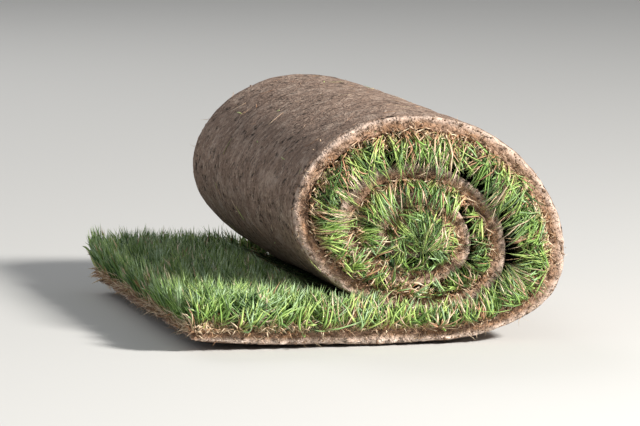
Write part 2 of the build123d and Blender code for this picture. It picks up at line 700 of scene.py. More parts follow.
class BladeMap:
    """The blades' own map: a column for each tint, green from dark to bright, and then dry."""

    NAME = "OFBake"
    COLUMNS = 64
    FIRST_DRY = 56
    MARGIN = 0.01
    FILL = 0.8

    @classmethod
    def is_dry(cls, column: Numbers) -> Numbers:
        """Which columns are dry."""
        return column >= cls.FIRST_DRY

    @classmethod
    def lay(cls, mesh: Mesh, pattern: Numbers, column: Numbers) -> None:
        """Give each blade its own column of the map.

        Args:
            mesh: The joined blades.
            pattern: Rows of the points of one blade.
            column: Each blade's column.
        """
        u = (column[:, None] + (0.5 + cls.FILL * pattern[:, 0])[None, :]) / cls.COLUMNS
        v = np.broadcast_to(cls.MARGIN + (1 - 2 * cls.MARGIN) * pattern[:, 2], u.shape)
        corner = np.empty(len(mesh.loops), np.int32)
        mesh.loops.foreach_get("vertex_index", corner)
        places = np.stack((u.ravel()[corner], v.ravel()[corner]), 1)
        mesh.uv_layers.new(name=cls.NAME).uv.foreach_set("vector", places.astype(np.float32).ravel())


@dataclass(frozen=True)
class BladeFinish(Finish):
    """Grass blades: pale sheath at the foot, green leaf, lighter tip, and dry straw and russet.

    The columns of the blades' map run from painted shade through a painted sky glint to painted sunlit
    green, and then from straw to russet.
    """

    name: str = "grass_blades"
    roughness: float = 0.42
    shine: float = 0.45
    root: Colour = (0.44, 0.285, 0.175)
    sheath: Colour = (0.60, 0.45, 0.27)
    foot: Colour = (0.27, 0.31, 0.09)
    leaf: Colour = (0.25, 0.43, 0.095)
    tip: Colour = (0.31, 0.44, 0.215)
    heights: tuple[float, ...] = (0.0, 0.10, 0.22, 0.40, 0.78, 1.0)
    shade: Colour = (0.022, 0.082, 0.028)
    shaded_until: Span = (0.45, 0.0)
    sun: Colour = (0.66, 0.78, 0.25)
    sunlit_from: Span = (0.62, 1.0)
    sun_share: float = 0.75
    # Painted reflection: a grey-green glint of the sky on a band of the green tints.
    sky_glint: Colour = (0.41, 0.56, 0.39)
    sky_glint_at: float = 0.56
    sky_glint_width: Span = (0.10, 0.05)
    sky_glint_share: float = 0.8
    straw: Colour = (0.95, 0.77, 0.58)
    straw_dark: Colour = (0.60, 0.37, 0.23)
    russet: Colour = (0.48, 0.225, 0.12)
    russet_from: Span = (0.45, 0.75)
    russet_share: float = 0.85
    # Painted highlight: a stripe of the sunlit tint down the middle of every blade.
    midrib_glint_width: Span = (0.1, 0.0)
    midrib_glint_share: float = 0.25

    def paint(self, sheet: Sheet) -> tuple[Socket, None]:
        """Lay out the tints, each from a blade's foot to its tip.

        Args:
            sheet: The material's sheet.

        Returns:
            The colour, which follows the blades' own map, and no height.
        """
        uv = sheet.node("ShaderNodeUVMap", uv_map=BladeMap.NAME).outputs[0]
        side, up = sheet.part(uv, 0), sheet.part(uv, 1)
        wide = sheet.times(side, float(BladeMap.COLUMNS))
        column = sheet.math("ADD", sheet.math("FLOOR", wide), 0.5)
        tint = sheet.stretch(column, 0.0, BladeMap.FIRST_DRY)
        dry_tint = sheet.stretch(column, BladeMap.FIRST_DRY, BladeMap.COLUMNS)
        tones = (self.root, self.sheath, self.foot, self.leaf, self.leaf, self.tip)
        green = sheet.ramp(up, list(zip(self.heights, tones)))
        green = sheet.mix(sheet.stretch(tint, *self.shaded_until), green, self.shade)
        sunlit = sheet.stretch(tint, *self.sunlit_from)
        green = sheet.stain(green, sunlit, self.sun_share, self.sun)
        # Painted reflection of the sky on a band of tints, stronger towards the tips.
        sky_glinted = sheet.times(sheet.stretch(sheet.away(tint, self.sky_glint_at), *self.sky_glint_width), up)
        green = sheet.stain(green, sky_glinted, self.sky_glint_share, self.sky_glint)
        dry = sheet.mix(up, self.straw_dark, self.straw)
        russet = sheet.stretch(dry_tint, *self.russet_from)
        dry = sheet.stain(dry, russet, self.russet_share, self.russet)
        is_dry = sheet.math("GREATER_THAN", side, BladeMap.FIRST_DRY / BladeMap.COLUMNS)
        # Painted highlight: the sunlit tint laid down the middle of each blade.
        midrib_glint = sheet.stretch(sheet.away(sheet.math("FRACT", wide), 0.5), *self.midrib_glint_width)
        return sheet.stain(sheet.mix(is_dry, green, dry), midrib_glint, self.midrib_glint_share, self.sun), None


@dataclass(frozen=True)
class CrumbFinish(Finish):
    """Loose crumbs of earth, each a little lighter or darker."""

    name: str = "earth_crumbs"
    relief: float = 0.0006
    light: Colour = (0.54, 0.38, 0.27)
    dark: Colour = (0.16, 0.095, 0.06)
    fleck: Colour = (0.76, 0.62, 0.50)
    darker_from: Span = (0.35, 1.0)

    def paint(self, sheet: Sheet) -> tuple[Socket, Socket]:
        """Lay out earth without pits, darker on some crumbs.

        Args:
            sheet: The material's sheet.

        Returns:
            The colour and the height.
        """
        place = sheet.node("ShaderNodeTexCoord").outputs["Object"]
        earth = EarthGroup().add(sheet, place, (self.light, self.dark, self.fleck), 0.0)
        darker = sheet.stretch(sheet.attribute("tint", "Fac"), *self.darker_from)
        return sheet.mix(darker, earth["Colour"], self.dark), earth["Height"]


@dataclass(frozen=True)
class FloorFinish(Finish):
    """A plain pale studio floor."""

    name: str = "pale_floor"
    colour: Colour = (0.60, 0.595, 0.58)

    def paint(self, sheet: Sheet) -> tuple[Colour, None]:
        """One plain colour and no height."""
        return self.colour, None


def placed(name: str, data: bpy.types.ID) -> Piece:
    """Put a mesh, a light or a camera in the scene.

    Args:
        name: The object's name.
        data: The mesh, light or camera.

    Returns:
        The new object.
    """
    thing = bpy.data.objects.new(name, data)
    bpy.context.scene.collection.objects.link(thing)
    return thing


def finished(name: str, shape: Shape) -> Piece:
    """Turn a bmesh into an object in the scene, and free it.

    Args:
        name: The piece's name.
        shape: The bmesh.

    Returns:
        The new object.
    """
    mesh = bpy.data.meshes.new(name)
    shape.to_mesh(mesh)
    shape.free()
    return placed(name, mesh)


def points_of(vertices: Iterable) -> Numbers:
    """Rows of the places of vertices."""
    return np.array([vertex.co[:] for vertex in vertices])


def set_points(mesh: Mesh, points: Numbers) -> None:
    """Move a mesh's vertices to new places."""
    mesh.vertices.foreach_set("co", points.astype(np.float32).ravel())
    mesh.update()


def store(mesh: Mesh, name: str, values: Numbers) -> None:
    """Keep one number, or one row of three, for each vertex of a mesh."""
    kind, key = ("FLOAT_VECTOR", "vector") if values.ndim == 2 else ("FLOAT", "value")
    mesh.attributes.new(name, kind, "POINT").data.foreach_set(key, values.astype(np.float32).ravel())


def dress(piece: Piece, material: Material, slot: str, *nodes: str) -> None:
    """Give a piece its finish and its place in the frame.

    Args:
        piece: The piece.
        material: Its material.
        slot: The record's material slot; not used.
        *nodes: The frame's nodes that it stands for.
    """
    piece.data.materials.append(material)
    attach(piece, "root")
    if nodes:
        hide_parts(*nodes)
    LOG.info("%s: %d faces", piece.name, len(piece.data.polygons))


def risers(shape: Shape) -> list[bmesh.types.BMEdge]:
    """The upright edges of a shape that is 1 high."""
    return [e for e in shape.edges if abs(e.verts[0].co.z - e.verts[1].co.z) > 0.5]


def patterned(shape: Shape) -> tuple[Numbers, list[list[int]]]:
    """Read the points and faces of a shape that is to be repeated, and free it.

    Args:
        shape: The shape.

    Returns:
        Rows of its points, and the points of each face.
    """
    shape.verts.index_update()
    points = points_of(shape.verts)
    faces = [[vertex.index for vertex in face.verts] for face in shape.faces]
    shape.free()
    return points, faces


def repeated(name: str, points: Numbers, faces: list[list[int]]) -> Piece:
    """Join many like shapes into one mesh.

    Args:
        name: The piece's name.
        points: For each copy, rows of its vertices.
        faces: The faces of one copy.

    Returns:
        The joined piece.
    """
    copies, size, _ = points.shape
    corners = np.concatenate([np.array(face) for face in faces])
    totals = np.tile([len(face) for face in faces], copies)
    loops = (corners[None, :] + np.arange(copies)[:, None] * size).ravel()
    mesh = bpy.data.meshes.new(name)
    mesh.vertices.add(copies * size)
    mesh.vertices.foreach_set("co", points.reshape(-1).astype(np.float32))
    mesh.loops.add(len(loops))
    mesh.loops.foreach_set("vertex_index", loops.astype(np.int32))
    mesh.polygons.add(len(totals))
    mesh.polygons.foreach_set("loop_start", (np.cumsum(totals) - totals).astype(np.int32))
    mesh.update(calc_edges=True)
    mesh.validate()
    return placed(name, mesh)


@dataclass(frozen=True)
class Slab:
    """A closed flat slab of the strip, cut into cells, before it is wound."""

    cells_along: int
    cells_across: int
    cells_deep: int
    end_crowding: float = 0.8

    def build(self, name: str) -> Piece:
        """Make the slab.

        Args:
            name: The piece's name.

        Returns:
            An object from 0 to 1 along, -1 to 1 across and 0 to 1 deep.
        """
        shape = bmesh.new()
        segments = {"x_segments": self.cells_along, "y_segments": self.cells_across}
        bmesh.ops.create_grid(shape, size=0.5, **segments)
        grown = bmesh.ops.extrude_face_region(shape, geom=shape.faces[:])
        raised = [item for item in grown["geom"] if isinstance(item, bmesh.types.BMVert)]
        bmesh.ops.translate(shape, verts=raised, vec=(0.0, 0.0, 1.0))
        cuts = self.cells_deep - 1
        bmesh.ops.subdivide_edges(shape, edges=risers(shape), cuts=cuts, use_grid_fill=True)
        bmesh.ops.translate(shape, verts=shape.verts, vec=(0.5, 0.0, 0.0))
        bmesh.ops.scale(shape, verts=shape.verts, vec=(1.0, 2.0, 1.0))
        bmesh.ops.recalc_face_normals(shape, faces=shape.faces)
        piece = finished(name, shape)
        for polygon in piece.data.polygons:
            polygon.use_smooth = True
        return piece

    def spread(self, across: Numbers) -> Numbers:
        """Crowd places from -1 to 1 towards both ends, where the detail is."""
        quarter = self.end_crowding * math.pi / 2
        return np.sin(across * quarter) / math.sin(quarter)


@dataclass
class SoilMat:
    """The strip's soil, crumbling at its cut ends and thin at its tip."""

    HAIR = 0.001

    path: Path
    finish: SoilFinish = SoilFinish()
    slab: Slab = Slab(480, 60, 6)
    crumble: float = 0.0046
    crumbs: Ripple = Ripple(0.013, 3)
    crumbs_gain: float = 1.9
    grit: float = 0.0016
    grains: Ripple = Ripple(0.0045, 4)
    edge_round: float = 0.0024
    corner_share: float = 0.25
    inner_corner: float = 0.5
    edge_lift: float = 0.5
    sink: float = 0.0022
    swell: Ripple = Ripple(0.11, 7)
    swell_from: float = 0.9
    swell_gain: float = 1.1
    pock: float = 0.0007
    pocks: Ripple = Ripple(0.013, 8)
    dented_share: float = 0.5
    tip_share: float = 0.6
    tip_taper: float = 0.045
    tip_wave: float = 0.006
    waves: Ripple = Ripple(0.035, 9)
    end_band: float = 0.010
    tip_band: float = 0.016
    bare_from: float = 0.1
    bare_run: float = 0.55

    def layer_thickness(self, along: Numbers) -> Numbers:
        """Thickness of the soil along the strip, which thins out towards the tip."""
        share = self.tip_share + (1 - self.tip_share) * smooth(along / self.tip_taper)
        return self.path.winding.soil_thickness * share

    def end_inset(self, along: Numbers, across: Numbers, layer: Numbers) -> Numbers:
        """How far the crumbled end lies in from the strip's full width.

        Args:
            along: Distances from the tip of the loose end.
            across: Distances from the middle of the strip's width.
            layer: Places through the soil, from 0 at its face to 1.

        Returns:
            The inset of each place.
        """
        flat = np.column_stack((along, across, layer * self.path.winding.soil_thickness))
        ragged = 1 - np.clip(self.crumbs_gain * np.abs(self.crumbs.at(flat)), 0, 1)
        gritty = 0.5 + 0.5 * self.grains.at(flat)
        inner = smooth((layer - (1 - self.corner_share)) / self.corner_share)
        corner = smooth(1 - layer / self.corner_share) + self.inner_corner * inner
        return self.crumble * ragged + self.grit * gritty + self.edge_round * corner

    def dent(self, flat: Numbers) -> Numbers:
        """How far the soil face is dented in, at rows of along, across and depth."""
        broad = self.sink * (self.swell_from + self.swell_gain * self.swell.at(flat))
        return np.clip(broad + self.pock * (1 + self.pocks.at(flat)), 0, None)

    def settled(self, flat: Numbers, layer: Numbers, at_edge: Numbers) -> Numbers:
        """How deep each place lies once the face is dented and its edges are rounded.

        Args:
            flat: Rows of places along the strip, across it and in from its plain face.
            layer: Places through the soil, from 0 at its face to 1.
            at_edge: 1 on a cut edge, fading to 0 away from it.

        Returns:
            The depth at each place.
        """
        corner = smooth(1 - layer / self.corner_share) * self.edge_round
        dent = self.dent(flat) * smooth(1 - layer / self.dented_share)
        return flat[:, 2] + dent + corner * at_edge * self.edge_lift

    def edge_depth(self, along: Numbers, across: Numbers, layer: Numbers) -> Numbers:
        """How deep places on a cut edge lie, at their layers of the soil there."""
        flat = np.column_stack((along, across, layer * self.layer_thickness(along)))
        return self.settled(flat, layer, np.ones(len(flat)))

    def on_face(self, dice: Dice, count: int, share: float) -> tuple[Numbers, ...]:
        """Draw places on the bare outer turn of the soil face.

        Args:
            dice: The random numbers.
            count: How many.
            share: The share of the strip's width that they lie on.

        Returns:
            Places along and across, and the dent at each.
        """
        winding = self.path.winding
        lowest, half = winding.first_bend + self.bare_from, winding.half_width
        along = dice.uniform(lowest, lowest + self.bare_run, count)
        across = dice.uniform(-half, half, count) * share
        return along, across, self.dent(np.column_stack((along, across, np.zeros(count))))

    def build(self) -> None:
        """Make the wound soil."""
        piece = self.slab.build("soil_mat_wound")
        unit = points_of(piece.data.vertices)
        half = self.path.winding.half_width
        along, side, layer = unit[:, 0] * self.path.length, unit[:, 1], unit[:, 2]
        across = self.slab.spread(side) * half
        flat = np.column_stack((along, across, layer * self.layer_thickness(along)))
        on_end = smooth((np.abs(across) - half) / self.end_band + 1)
        on_tip = smooth(1 - along / self.tip_band)
        depth = self.settled(flat, layer, np.maximum(on_end, on_tip))
        inset = self.end_inset(along, across, layer)
        wave = self.tip_wave * (0.5 + 0.5 * self.waves.at(flat))
        along = along + on_tip * (wave + inset)
        across = across - np.sign(across) * on_end * inset
        self.path.wind(piece.data, along, across, depth)
        store(piece.data, "layer", layer)
        is_cut = (np.abs(side) > 1 - self.HAIR) | (unit[:, 0] < self.HAIR)
        store(piece.data, "cut", is_cut.astype(float))
        dress(piece, self.finish.build(), "soil", "soil_mat")


@dataclass
class PressedSward:
    """The mass of grass squeezed between the turns, and the dense foot of the free grass, coloured dark
    as painted shade between the blades.
    """

    path: Path
    finish: SwardFinish = SwardFinish()
    slab: Slab = Slab(320, 20, 3)
    recess: float = 0.009
    start: float = 0.007
    shorter: float = 0.009
    sunk: float = 0.001
    thatch: float = 0.005
    free_foot: float = 0.028
    shoulder: float = 0.022
    tussocks: Ripple = Ripple(0.014, 12)
    tussock: float = 0.22
    clear: float = 0.0006
    squeeze_run: float = 0.03
    shaggy_from: float = 0.8
    shags: Ripple = Ripple(0.008, 11)
    shag: float = 0.004

    def build(self) -> None:
        """Make the wound layer of grass."""
        piece = self.slab.build("pressed_sward")
        unit = points_of(piece.data.vertices)
        half = self.path.winding.half_width - self.recess
        along = self.start + unit[:, 0] * (self.path.length - self.shorter)
        across = self.slab.spread(unit[:, 1]) * half
        flat = np.column_stack((along, across, np.zeros_like(along)))
        in_from_edge = np.minimum(along - self.start, half - np.abs(across))
        bushy = smooth(in_from_edge / self.shoulder) * (1 + self.tussock * self.tussocks.at(flat))
        tight = self.path.gap(along) - self.clear
        free = np.minimum(self.thatch + (self.free_foot - self.thatch) * bushy, tight)
        past_bend = along - self.path.winding.first_bend
        squeezed = smooth((past_bend - self.squeeze_run) / self.squeeze_run)
        height = free + (tight - free) * squeezed
        depth = self.path.winding.soil_thickness - self.sunk + unit[:, 2] * height
        on_end = smooth((np.abs(unit[:, 1]) - self.shaggy_from) / (1 - self.shaggy_from))
        shag = self.shags.at(np.column_stack((along, across, depth)))
        across = across + np.sign(across) * on_end * self.shag * shag
        self.path.wind(piece.data, along, across, depth)
        dress(piece, self.finish.build(), "grass", "grass")


@dataclass
class Blade:
    """One grass blade, used again for every blade, root and stalk."""

    cuts: int = 3
    sides: int = 3

    def __post_init__(self) -> None:
        """Make the pattern blade and read its points and faces."""
        shape = bmesh.new()
        sizes = {"segments": self.sides, "radius1": 0.5, "radius2": 0.5, "depth": 1.0}
        bmesh.ops.create_cone(shape, cap_ends=True, **sizes)
        bmesh.ops.translate(shape, verts=shape.verts, vec=(0.0, 0.0, 0.5))
        bmesh.ops.subdivide_edges(shape, edges=risers(shape), cuts=self.cuts, use_grid_fill=True)
        top = [v for v in shape.verts if v.co.z > 0.99]
        bmesh.ops.pointmerge(shape, verts=top, merge_co=(0.0, 0.0, 1.0))
        bmesh.ops.recalc_face_normals(shape, faces=shape.faces)
        self.points, self.faces = patterned(shape)


@dataclass
class Stand:
    """Where many blades grow and how each one bends, in the strip's own numbers."""

    along: Numbers
    across: Numbers
    depth: Numbers
    length: Numbers
    width: Numbers
    aim: Numbers
    first_tilt: Numbers
    last_tilt: Numbers
    twist: Numbers
    curl: Numbers
    column: Numbers

    def joined(self, other: "Stand") -> "Stand":
        """This stand's blades, and then another's."""
        pairs = ((getattr(self, item.name), getattr(other, item.name)) for item in fields(self))
        return Stand(*map(np.concatenate, pairs))


@dataclass
class Grower:
    """Turns stands of blades into dressed pieces that follow the turns."""

    path: Path
    blade: Blade
    material: Material
    keel: float = 0.34
    foot_width: float = 0.55
    widening: float = 0.9
    tip_width: float = 0.004
    least_swing: float = 0.01
    wall_gap: float = 0.001
    flare: float = 3.5
    core_share: float = 0.93
    most_proud: float = 0.015
    most_past_tip: float = 0.018
    most_sunk: float = 0.007
    hang: float = 25.0
    floor_gap: float = 0.0006

    def grow(self, name: str, stand: Stand, slot: str, walled: bool) -> None:
        """Grow a stand of blades as one piece.

        Args:
            name: The piece's name.
            stand: Where and how the blades grow.
            slot: The record's material slot.
            walled: Whether the next turn stops the blades.
        """
        flat, ridge, t = self.blade.points.T[:, None, :]
        ridge = ridge * -self.keel
        cos, sin = np.cos(stand.twist)[:, None], np.sin(stand.twist)[:, None]
        flat, ridge = flat * cos - ridge * sin, flat * sin + ridge * cos
        taper = np.sqrt(np.clip(1.0 - t, self.tip_width, 1.0))
        wide = stand.width[:, None] * (self.foot_width + self.widening * t) * taper
        first, swing = stand.first_tilt[:, None], (stand.last_tilt - stand.first_tilt)[:, None]
        tilt = first + swing * t
        swing = np.where(np.abs(swing) < self.least_swing, self.least_swing, swing)
        rise, reach, _ = arc(first, swing, t)
        length = stand.length[:, None]
        bow = stand.curl[:, None] * length * t * t + flat * wide
        ahead = reach * length + ridge * wide * np.cos(tilt)
        cos, sin = np.cos(stand.aim)[:, None], np.sin(stand.aim)[:, None]
        along = stand.along[:, None] + cos * ahead - sin * bow
        across = stand.across[:, None] + sin * ahead + cos * bow
        depth = stand.depth[:, None] + rise * length - ridge * wide * np.sin(tilt)
        piece = repeated(name, self.settle(along, across, depth, walled), self.blade.faces)
        BladeMap.lay(piece.data, self.blade.points, stand.column)
        dress(piece, self.material, slot)

    def settle(self, along: Numbers, across: Numbers, depth: Numbers, walled: bool) -> Numbers:
        """Keep blades off the turns and inside the roll's length, then wind them.

        Args:
            along: Places along the strip, for each blade and point.
            across: Places across it.
            depth: Places in from the soil face.
            walled: Whether the next turn stops the blades.

        Returns:
            For each blade, rows of its points.
        """
        half, thick = self.path.winding.half_width, self.path.winding.soil_thickness
        over = np.clip(np.abs(across) - half, 0.0, None)
        if walled:
            room = self.path.room(along) - self.wall_gap + over * self.flare
            risen, sunk = np.clip(depth - thick, 0.0, None), np.clip(thick - depth, 0.0, None)
            depth = thick + reined(risen, room) - reined(sunk, self.most_sunk)
            curve = self.path.soil_face(along)[3]
            depth = np.minimum(depth, self.core_share / np.maximum(curve, 1.0))
        held = self.most_proud * np.tanh(over / self.most_proud)
        across = np.sign(across) * (np.minimum(np.abs(across), half) + held)
        past = self.most_past_tip * np.tanh(np.clip(-along, 0.0, None) / self.most_past_tip)
        along = np.maximum(along, 0.0) - past
        wound = self.path.place(along.ravel(), across.ravel(), depth.ravel())
        wound[:, 2] -= self.hang * held.ravel() ** 2
        wound[:, 2] = np.maximum(wound[:, 2], self.floor_gap)
        return wound.reshape(*along.shape, 3)


class RollEnd(Enum):
    """The two ends of the roll, by the side of the middle that each is on."""

    FRONT = -1
    BACK = 1


@dataclass
class Tufts:
    """Draws tufts of blades that share a foot, a lean and mostly a tint.

    A dying tuft has a larger share of dry blades than a sound one.
    """

    dice: Dice
    count: int
    blades_each: int
    alike: float = 0.82
    dying: float = 0.7
    sound: float = 0.3

    def __post_init__(self) -> None:
        """Give every blade its tuft."""
        self.tufts = max(1, self.count // self.blades_each)
        self.tuft = self.dice.integers(0, self.tufts, self.count)

    def shared(self, values: Numbers, own: float) -> Numbers:
        """Hand each blade its tuft's number, and let it stray by a spread of its own."""
        return values[self.tuft] + self.dice.normal(0.0, own, self.count)

    def even(self, low: float, high: float | Numbers, own: float) -> Numbers:
        """Numbers spread evenly over the tufts, handed to their blades."""
        return self.shared(self.dice.uniform(low, high, self.tufts), own)

    def strewn(self, middle: float, spread: float, own: float) -> Numbers:
        """Numbers strewn round a middle over the tufts, handed to their blades."""
        return self.shared(self.dice.normal(middle, spread, self.tufts), own)

    def uniform(self, low: float, high: float) -> Numbers:
        """Even random numbers, one for each blade."""
        return self.dice.uniform(low, high, self.count)

    def column(self, dry: float, brightest: float = 1.0) -> Numbers:
        """Columns of the blade map, mostly the tuft's own, with a share of dry ones.

        Args:
            dry: The share of dry tufts.
            brightest: How far up the green tints, which run from dark to bright, they go.

        Returns:
            A column for each blade.
        """
        greens = int(BladeMap.FIRST_DRY * brightest)
        own = self.dice.integers(0, greens, self.count)
        tuft = self.dice.integers(0, greens, self.tufts)[self.tuft]
        fresh = np.where(self.dice.random(self.count) < self.alike, tuft, own)
        stale = self.dice.integers(BladeMap.FIRST_DRY, BladeMap.COLUMNS, self.count)
        is_dying = self.dice.random(self.tufts)[self.tuft] < dry
        share = np.where(is_dying, self.dying, self.sound * dry / (1 - dry))
        return np.where(self.dice.random(self.count) < share, stale, fresh)


@dataclass(frozen=True)
class StandingBlades:
    """Blades that grow in the last stretch of the gaps, on one end, and lean out of them."""

    count: int = 5200
    blades_each: int = 8
    first_foot: float = 0.004
    margin: float = 0.002
    feet: int = 1500
    even_weight: float = 0.45
    room_weighed: float = 1.3
    foot_stray: float = 0.0016
    back: Drawn = (0.0, 0.022, 0.0015)
    tallest: float = 0.066
    free_tallest: float = 0.045
    shortest: float = 0.016
    core_from: float = 18.0
    core_fade: float = 14.0
    laid_share: float = 0.4
    laid_swerve: Span = (0.5, 1.5)
    swerve: float = -0.9
    swerve_spread: float = 1.0
    swerve_stray: float = 0.25
    lean: Span = (0.2, 1.25)
    laid_lean: float = 0.5
    lean_stray: float = 0.2
    raised_most: float = 0.95
    free_raised_most: float = 0.2
    raised_power: float = 1.25
    bare_until: float = 0.95
    bare_share: float = 0.14
    sunk: float = 0.003
    room_lost: float = 0.65
    room_filled: Span = (0.7, 1.4)
    poke: float = 0.010
    dry: float = 0.22
    dry_length: float = 0.62
    width: Span = (0.0021, 0.0042)
    droop_from: float = 0.2
    low_droop: float = 1.0
    droop: float = 2.2
    droop_past: float = 0.08
    droop_stray: float = 0.3
    flop: float = 0.3
    flop_at: float = 0.17
    flop_reach: float = 0.13
    twist: Span = (-1.2, 1.2)
    curl: Drawn = (0.0, 0.35, 0.08)

    def draw(self, path: Path, side: int, dice: Dice) -> Stand:
        """Draw the blades of one end.

        Args:
            path: The wound strip.
            side: The end, as the side of the middle that it is on.
            dice: The random numbers.

        Returns:
            The stand.
        """
        tufts = Tufts(dice, self.count, self.blades_each)
        first_bend = path.winding.first_bend
        grid = np.linspace(self.first_foot, path.length - self.margin, self.feet)
        weighed = np.minimum(path.room(grid), self.tallest * self.room_weighed)
        weight = self.even_weight + weighed / path.free_height
        foot = dice.choice(grid, tufts.tufts, p=weight / weight.sum())
        along = np.clip(tufts.shared(foot, self.foot_stray), self.margin, path.length - self.margin)
        back = np.abs(tufts.even(*self.back))
        wound, foot_wound = along > first_bend, foot > first_bend
        core = smooth((path.soil_face(foot)[3] - self.core_from) / self.core_fade)
        is_laid = dice.random(tufts.tufts) < self.laid_share + (1 - self.laid_share) * core
        is_laid &= foot_wound
        way = np.where(core > 0.5, -side, dice.choice((-1.0, 1.0), tufts.tufts))
        laid_swerve = way * dice.uniform(*self.laid_swerve, tufts.tufts)
        swerve = dice.normal(self.swerve * side * foot_wound, self.swerve_spread, tufts.tufts)
        swerve = np.where(is_laid, laid_swerve, swerve)
        lean = dice.uniform(*self.lean, tufts.tufts) + self.laid_lean * is_laid
        drawn = tufts.uniform(0.0, 1.0)
        most = np.where(wound, self.raised_most, self.free_raised_most)
        share = np.where(is_laid[tufts.tuft], self.raised_most * drawn, most * drawn**self.raised_power)
        bare = np.where(wound & (along < self.bare_until), self.bare_share, 0.0)
        raised = path.gap(along) * (bare + (1 - bare) * share)
        tallest = np.where(wound, self.tallest, self.free_tallest)
        room = np.where(wound, np.minimum(path.room(along), self.tallest), path.gap(along))
        droop = np.where(foot > first_bend + self.droop_past, self.droop, self.low_droop)
        flop = smooth(1 - np.abs(along - first_bend - self.flop_at) / self.flop_reach)
        column = tufts.column(self.dry)
        filled = (room - self.room_lost * raised) * tufts.uniform(*self.room_filled)
        length = np.clip(filled + self.poke, self.shortest, tallest)
        return Stand(
            along=along,
            across=side * (path.winding.half_width - back),
            depth=path.winding.soil_thickness - self.sunk + raised,
            length=length * np.where(BladeMap.is_dry(column), self.dry_length, 1.0),
            width=tufts.uniform(*self.width),
            aim=side * OUTWARD + tufts.shared(swerve, self.swerve_stray),
            first_tilt=np.abs(tufts.shared(lean, self.lean_stray)),
            last_tilt=tufts.even(self.droop_from, droop, self.droop_stray) + self.flop * flop,
            twist=tufts.uniform(*self.twist),
            curl=tufts.strewn(*self.curl),
            column=column,
        )


@dataclass(frozen=True)
class HangingBlades:
    """Blades that start at the very end, bend out and lie across the next turn's soil."""

    count: int = 3800
    blades_each: int = 7
    past_curl: float = 0.02
    inner_from: float = 0.12
    low_share: float = 0.30
    foot_stray: float = 0.002
    back: Span = (0.0, 0.004)
    sunk: float = 0.001
    bare_until: float = 0.95
    bare_slant: float = 2.0
    gap_share: float = 0.7
    longer: Span = (0.016, 0.034)
    width: Span = (0.0021, 0.0040)
    swerve: Drawn = (-0.3, 1.4, 0.3)
    lean: Drawn = (0.6, 1.2, 0.15)
    droop_from: float = -0.5
    low_droop: float = 0.7
    droop: float = 1.5
    droop_stray: float = 0.25
    twist: Span = (-1.2, 1.2)
    curl: float = 0.3
    dry: float = 0.24

    def draw(self, path: Path, side: int, dice: Dice) -> Stand:
        """Draw the blades of one end.

        Args:
            path: The wound strip.
            side: The end, as the side of the middle that it is on.
            dice: The random numbers.

        Returns:
            The stand.
        """
        tufts = Tufts(dice, self.count, self.blades_each)
        lowest = path.winding.curl_length + self.past_curl
        inner = path.winding.first_bend + self.inner_from
        is_low = dice.random(tufts.tufts) < self.low_share
        low = dice.uniform(lowest, inner, tufts.tufts)
        high = dice.uniform(inner, path.length, tufts.tufts)
        foot = np.where(is_low, low, high)
        droop = np.where(is_low, self.low_droop, self.droop)
        along = np.clip(tufts.shared(foot, self.foot_stray), lowest, path.length - self.foot_stray)
        back = tufts.uniform(*self.back)
        is_bare = ~is_low[tufts.tuft] & (along < self.bare_until)
        middle, spread, stray = self.swerve
        return Stand(
            along=along,
            across=side * (path.winding.half_width - back),
            depth=path.winding.soil_thickness - self.sunk + self.bare_slant * back * is_bare,
            length=path.gap(foot)[tufts.tuft] * self.gap_share + tufts.uniform(*self.longer),
            width=tufts.uniform(*self.width),
            aim=side * OUTWARD + tufts.strewn(middle * side, spread, stray),
            first_tilt=tufts.even(*self.lean),
            last_tilt=tufts.even(self.droop_from, droop, self.droop_stray),
            twist=tufts.uniform(*self.twist),
            curl=dice.normal(0.0, self.curl, tufts.count),
            column=tufts.column(self.dry),
        )


@dataclass
class EndBlades:
    """Blades that show on one end: they stand in the gaps, poke out and hang over the soil."""

    grower: Grower
    end: RollEnd
    standing: StandingBlades = StandingBlades()
    hanging: HangingBlades = HangingBlades()
    seed: int = 20

    def build(self) -> None:
        """Grow the blades of this end."""
        dice = np.random.default_rng(self.seed + self.end.value)
        standing = self.standing.draw(self.grower.path, self.end.value, dice)
        both = standing.joined(self.hanging.draw(self.grower.path, self.end.value, dice))
        self.grower.grow(f"end_blades_{self.end.name.lower()}", both, "grass", walled=True)


